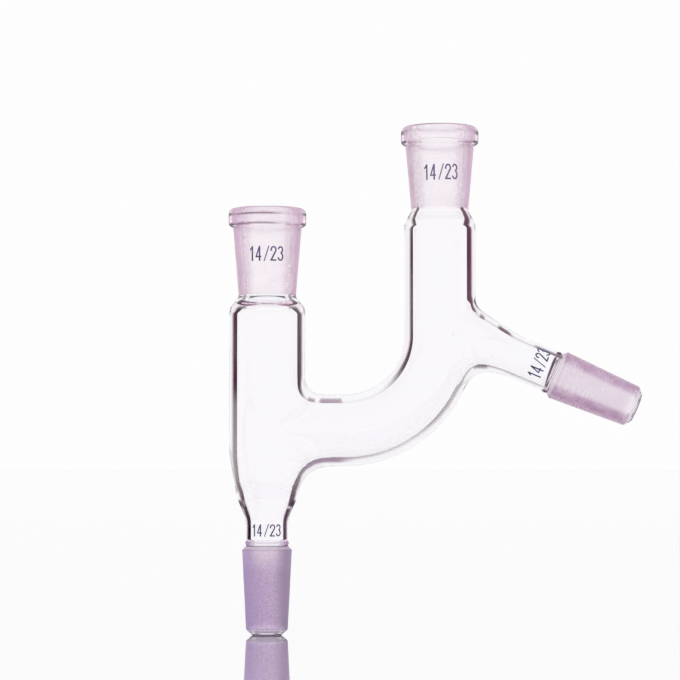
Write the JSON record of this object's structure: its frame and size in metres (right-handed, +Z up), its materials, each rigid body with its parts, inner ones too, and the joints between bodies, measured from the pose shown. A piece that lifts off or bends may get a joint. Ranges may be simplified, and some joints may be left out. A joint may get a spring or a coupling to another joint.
{
  "type": "claisen adapter",
  "caption": "Glass distillation head: a straight tube between a ground cone and a ground socket, with a side arm bent up to another socket and a slanted outlet cone.",
  "frame": {"origin": "on the lower cone's axis, in its gauge plane, the wide end of the ground taper", "axes": "+Z up along the main tube, from the lower cone to the top socket; +X from the main tube towards the second tube and the slanted outlet; the part is symmetric about the XZ plane"},
  "size_m": [0.121, 0.0226, 0.1486],
  "materials": {
    "borosilicate_glass": "clear and smooth; the ground joints have a fine satin grinding with a faint lilac tone; joint sizes printed in dark blue",
    "print_ink": "dark blue ceramic ink, thin and dull, for the joint-size numerals printed on the glass"
  },
  "bodies": {
    "root": {"glass_body": "borosilicate_glass"}
  },
  "joints": []
}
